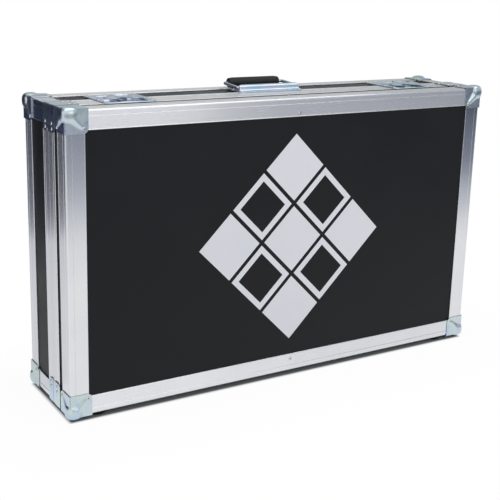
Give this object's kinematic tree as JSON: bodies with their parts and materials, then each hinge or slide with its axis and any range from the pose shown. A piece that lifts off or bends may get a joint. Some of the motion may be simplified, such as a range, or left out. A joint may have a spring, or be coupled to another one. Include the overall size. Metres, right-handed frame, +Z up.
{
  "type": "guitar pedal flight case",
  "caption": "Laminated board flight case for guitar pedals, in aluminium edging with ball corners, butterfly latches, bail handle, rubber feet and a hinged lid",
  "frame": {"origin": "centre of the bounding box's underside, on the plane that the four feet stand on", "axes": "+X runs along the width to the right as seen from the lid, +Y from the lid to the rear, +Z up from the hinged edge to the handle"},
  "size_m": [0.787, 0.176, 0.4879],
  "materials": {
    "black_laminate": "birch plywood with a fine-textured black phenolic laminate",
    "aluminium_edging": "satin anodised extrusion with drawn lines along its length",
    "zinc_plate": "pressed steel, bright zinc plate with a faint blue cast",
    "black_rubber": "moulded black rubber, satin",
    "foam": "dark grey closed-cell foam"
  },
  "bodies": {
    "base": {"base_rear_panel": "black_laminate", "base_top_panel": "black_laminate", "base_bottom_panel": "black_laminate", "base_left_panel": "black_laminate", "base_right_panel": "black_laminate", "base_top_angle": "aluminium_edging", "base_bottom_angle": "aluminium_edging", "base_left_angle": "aluminium_edging", "base_right_angle": "aluminium_edging", "base_top_left_edge_angle": "aluminium_edging", "base_top_right_edge_angle": "aluminium_edging", "base_bottom_left_edge_angle": "aluminium_edging", "base_bottom_right_edge_angle": "aluminium_edging", "base_closure_frame": "aluminium_edging", "base_top_left_ball_corner": "zinc_plate", "base_top_right_ball_corner": "zinc_plate", "base_bottom_left_ball_corner": "zinc_plate", "base_bottom_right_ball_corner": "zinc_plate", "base_left_foot": "black_rubber", "base_right_foot": "black_rubber", "base_foam_lining": "foam", "left_latch_base_dish": "zinc_plate", "right_latch_base_dish": "zinc_plate", "handle_plate": "zinc_plate", "left_hinge_base_leaf": "zinc_plate", "right_hinge_base_leaf": "zinc_plate"},
    "lid": {"lid_front_panel": "black_laminate", "lid_top_panel": "black_laminate", "lid_bottom_panel": "black_laminate", "lid_left_panel": "black_laminate", "lid_right_panel": "black_laminate", "lid_top_angle": "aluminium_edging", "lid_bottom_angle": "aluminium_edging", "lid_left_angle": "aluminium_edging", "lid_right_angle": "aluminium_edging", "lid_top_left_edge_angle": "aluminium_edging", "lid_top_right_edge_angle": "aluminium_edging", "lid_bottom_left_edge_angle": "aluminium_edging", "lid_bottom_right_edge_angle": "aluminium_edging", "lid_closure_frame": "aluminium_edging", "lid_top_left_ball_corner": "zinc_plate", "lid_top_right_ball_corner": "zinc_plate", "lid_bottom_left_ball_corner": "zinc_plate", "lid_bottom_right_ball_corner": "zinc_plate", "lid_left_foot": "black_rubber", "lid_right_foot": "black_rubber", "lid_foam_pad": "foam", "left_latch_lid_dish": "zinc_plate", "right_latch_lid_dish": "zinc_plate", "left_hinge_lid_leaf": "zinc_plate", "right_hinge_lid_leaf": "zinc_plate"},
    "left_spool": {"left_latch_spool": "zinc_plate"},
    "left_hook": {"left_latch_hook": "zinc_plate"},
    "left_wing": {"left_latch_wing": "zinc_plate"},
    "right_spool": {"right_latch_spool": "zinc_plate"},
    "right_hook": {"right_latch_hook": "zinc_plate"},
    "right_wing": {"right_latch_wing": "zinc_plate"},
    "handle": {"handle_bail": "zinc_plate", "handle_grip": "black_rubber"}
  },
  "joints": [
    {"name": "lid_hinge", "type": "hinge", "parent": "base", "child": "lid", "pos_m": [0, -0.0185, 0.0047], "axis": [1, 0, 0], "range_deg": [0, 95]},
    {"name": "handle_fold", "type": "hinge", "parent": "base", "child": "handle", "pos_m": [0, 0.008, 0.4765], "axis": [1, 0, 0], "range_deg": [0, 82]},
    {"name": "left_latch_turn", "type": "hinge", "parent": "base", "child": "left_spool", "pos_m": [-0.27, 0.0015, 0.466], "axis": [0, 0, 1], "range_deg": [0, 180]},
    {"name": "left_hook_slide", "type": "slide", "parent": "base", "child": "left_hook", "axis": [0, -1, 0], "range_m": [0, 0.0065]},
    {"name": "left_wing_fold", "type": "hinge", "parent": "left_spool", "child": "left_wing", "pos_m": [-0.27, 0.0015, 0.4739], "axis": [-1, 0, 0], "range_deg": [0, 90]},
    {"name": "right_latch_turn", "type": "hinge", "parent": "base", "child": "right_spool", "pos_m": [0.27, 0.0015, 0.466], "axis": [0, 0, 1], "range_deg": [0, 180]},
    {"name": "right_hook_slide", "type": "slide", "parent": "base", "child": "right_hook", "axis": [0, -1, 0], "range_m": [0, 0.0065]},
    {"name": "right_wing_fold", "type": "hinge", "parent": "right_spool", "child": "right_wing", "pos_m": [0.27, 0.0015, 0.4739], "axis": [-1, 0, 0], "range_deg": [0, 90]}
  ],
  "couplings": [
    {"joint": "left_hook_slide", "follows": "left_latch_turn", "m_per_rad": 0.002069},
    {"joint": "right_hook_slide", "follows": "right_latch_turn", "m_per_rad": 0.002069}
  ]
}
